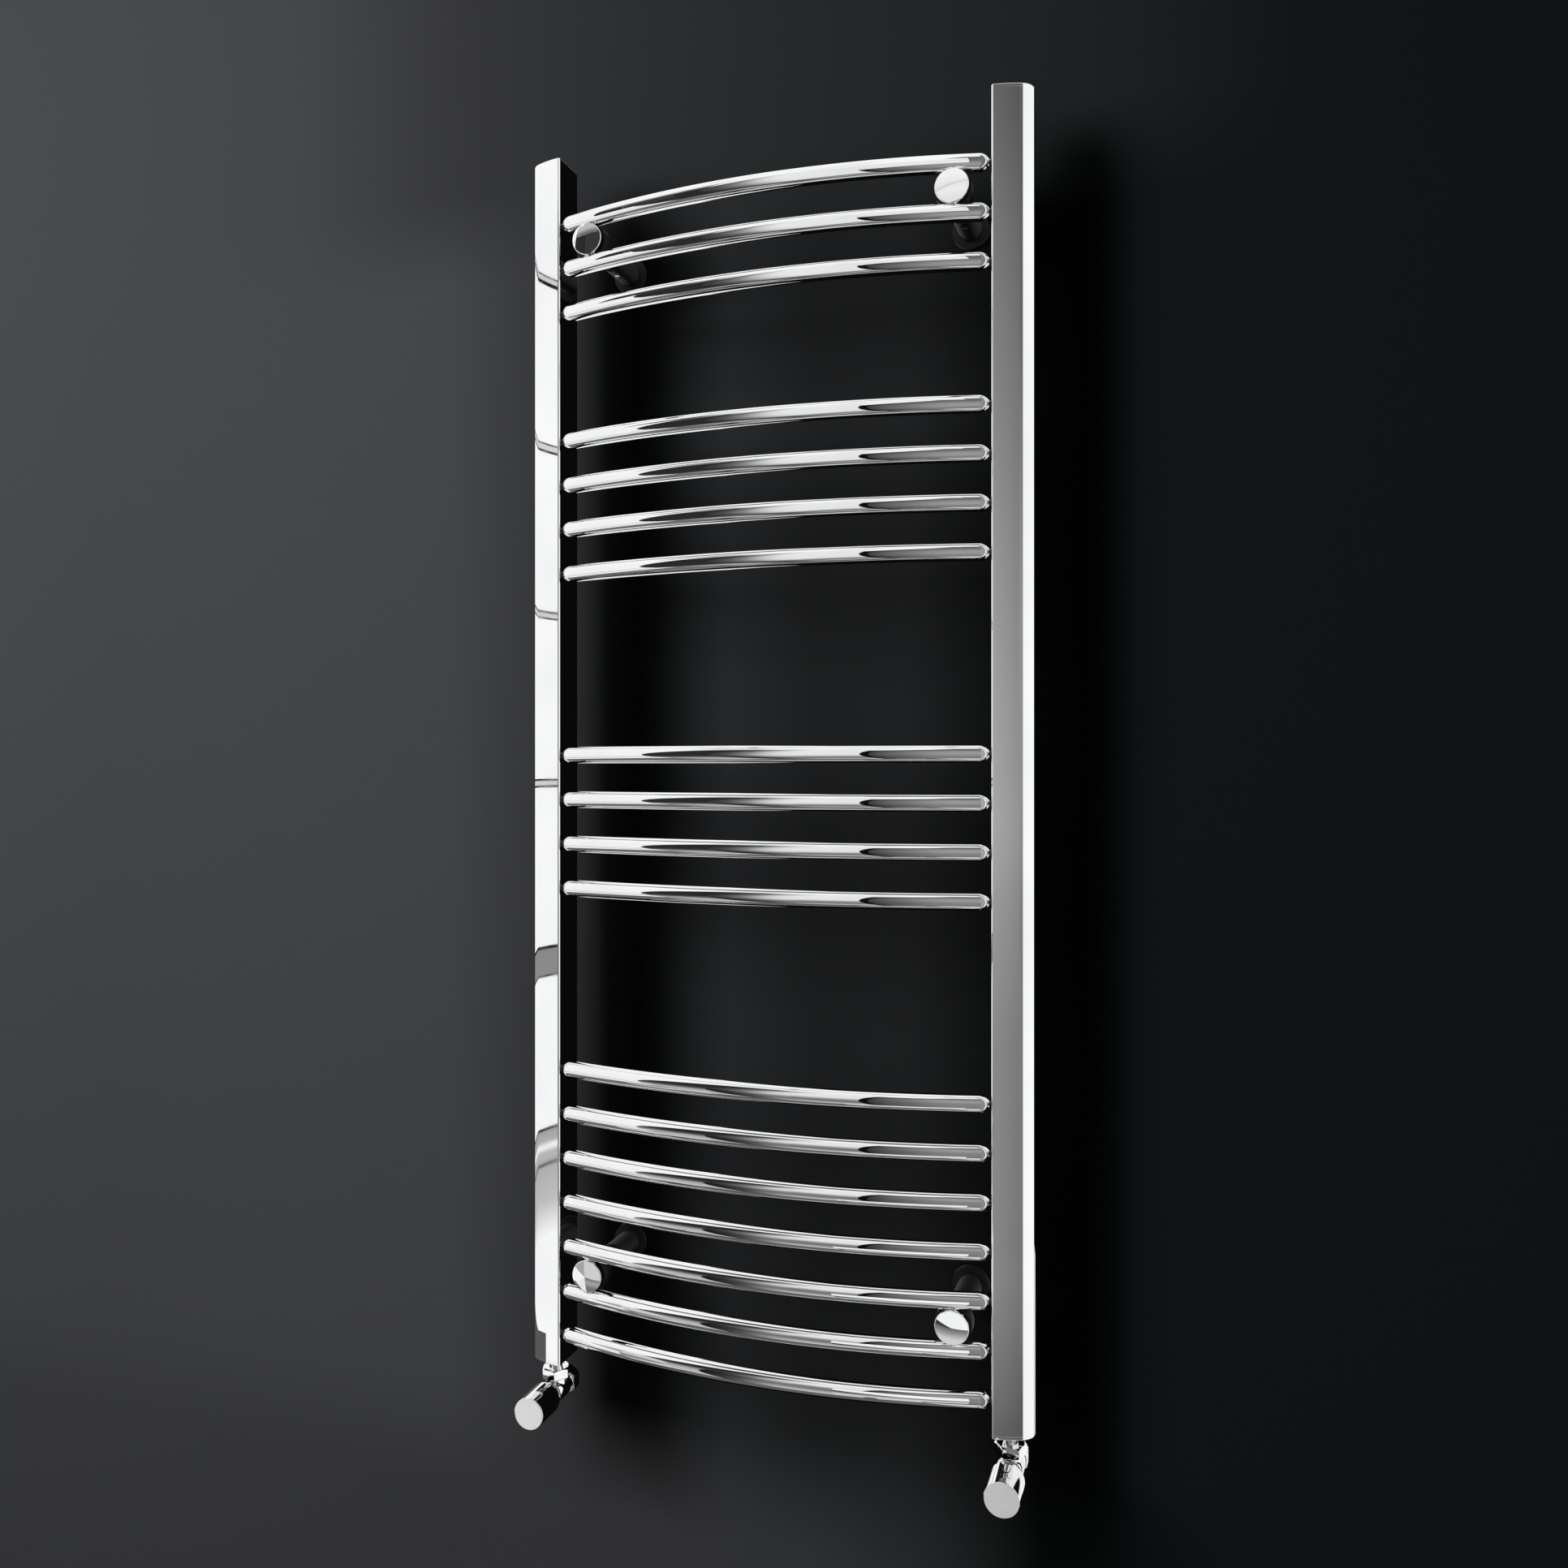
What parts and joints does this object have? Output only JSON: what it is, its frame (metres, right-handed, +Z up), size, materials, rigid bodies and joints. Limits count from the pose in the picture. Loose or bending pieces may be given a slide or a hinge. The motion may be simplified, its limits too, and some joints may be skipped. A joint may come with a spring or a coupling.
{
  "type": "ladder towel radiator with valves",
  "caption": "Tall wall-hung ladder towel radiator with bowed round bars between two D-shaped collectors, domed bracket caps and an angled valve below each collector.",
  "frame": {"origin": "middle of the four wall-screw holes, on the wall plane", "axes": "+X to the right, +Z up, +Y into the wall; the room is on the -Y side"},
  "size_m": [0.5, 0.13, 1.2475],
  "materials": {
    "chrome": "mirror chrome plate on steel",
    "chromed_brass": "mirror chrome plate on brass",
    "plated_steel": "satin zinc-plated steel",
    "black_nylon": "black glass-filled nylon, fine matt grain",
    "brass": "machined brass",
    "rubber": "matt black seal rubber",
    "fibre": "red-brown sealing fibre"
  },
  "bodies": {
    "wall_side": {"wall_cups": "black_nylon", "cup_grub_screws": "plated_steel"},
    "radiator": {"collector_left": "chrome", "collector_right": "chrome", "top_plate_left": "chrome", "top_plate_right": "chrome", "bottom_plate_left": "chrome", "bottom_plate_right": "chrome", "bar_01": "chrome", "bar_02": "chrome", "bar_03": "chrome", "bar_04": "chrome", "bar_05": "chrome", "bar_06": "chrome", "bar_07": "chrome", "bar_08": "chrome", "bar_09": "chrome", "bar_10": "chrome", "bar_11": "chrome", "bar_12": "chrome", "bar_13": "chrome", "bar_14": "chrome", "bar_15": "chrome", "bar_16": "chrome", "bar_17": "chrome", "bar_18": "chrome", "saddle_top_left": "black_nylon", "saddle_top_right": "black_nylon", "saddle_bottom_left": "black_nylon", "saddle_bottom_right": "black_nylon", "cap_top_left": "chrome", "cap_top_right": "chrome", "cap_bottom_left": "chrome", "cap_bottom_right": "chrome", "clamp_studs": "plated_steel", "vent_body": "chromed_brass", "blanking_plug": "chromed_brass", "union_washers": "fibre", "spindle_seals": "rubber", "left_tail": "chromed_brass", "left_union_nut": "chromed_brass", "left_valve_body": "chromed_brass", "left_bonnet": "chromed_brass", "left_olive": "brass", "left_pipe_nut": "chromed_brass", "right_tail": "chromed_brass", "right_union_nut": "chromed_brass", "right_valve_body": "chromed_brass", "right_bonnet": "chromed_brass", "right_olive": "brass", "right_pipe_nut": "chromed_brass"},
    "left_control": {"left_handle": "chromed_brass", "left_handle_screw": "plated_steel", "left_spindle": "brass"},
    "left_closer": {"left_plug": "brass"},
    "right_cover": {"right_shield_cap": "chromed_brass"},
    "right_control": {"right_spindle": "brass"},
    "right_closer": {"right_plug": "brass"},
    "bleeder": {"bleed_screw": "brass"}
  },
  "joints": [
    {"name": "bracket_adjust", "type": "slide", "parent": "wall_side", "child": "radiator", "axis": [0, 1, 0], "range_m": [-0.012, 0.012]},
    {"name": "left_handle_turn", "type": "hinge", "parent": "radiator", "child": "left_control", "pos_m": [-0.2283, -0.075, -0.6365], "axis": [0, -1, 0], "range_deg": [0, 1080]},
    {"name": "left_plug_travel", "type": "slide", "parent": "radiator", "child": "left_closer", "axis": [0, -1, 0], "range_m": [0, 0.0045]},
    {"name": "right_cap_pull", "type": "slide", "parent": "radiator", "child": "right_cover", "axis": [0, -1, 0], "range_m": [0, 0.036]},
    {"name": "right_spindle_turn", "type": "hinge", "parent": "radiator", "child": "right_control", "pos_m": [0.2283, -0.075, -0.6365], "axis": [0, -1, 0], "range_deg": [0, 1080]},
    {"name": "right_plug_travel", "type": "slide", "parent": "radiator", "child": "right_closer", "axis": [0, -1, 0], "range_m": [0, 0.0045]},
    {"name": "bleed_screw_turn", "type": "hinge", "parent": "radiator", "child": "bleeder", "pos_m": [-0.2283, -0.054, 0.5555], "axis": [0, 1, 0], "range_deg": [0, 360]}
  ],
  "couplings": [
    {"joint": "left_plug_travel", "follows": "left_handle_turn", "m_per_rad": 0.00023873},
    {"joint": "right_plug_travel", "follows": "right_spindle_turn", "m_per_rad": 0.00023873}
  ]
}
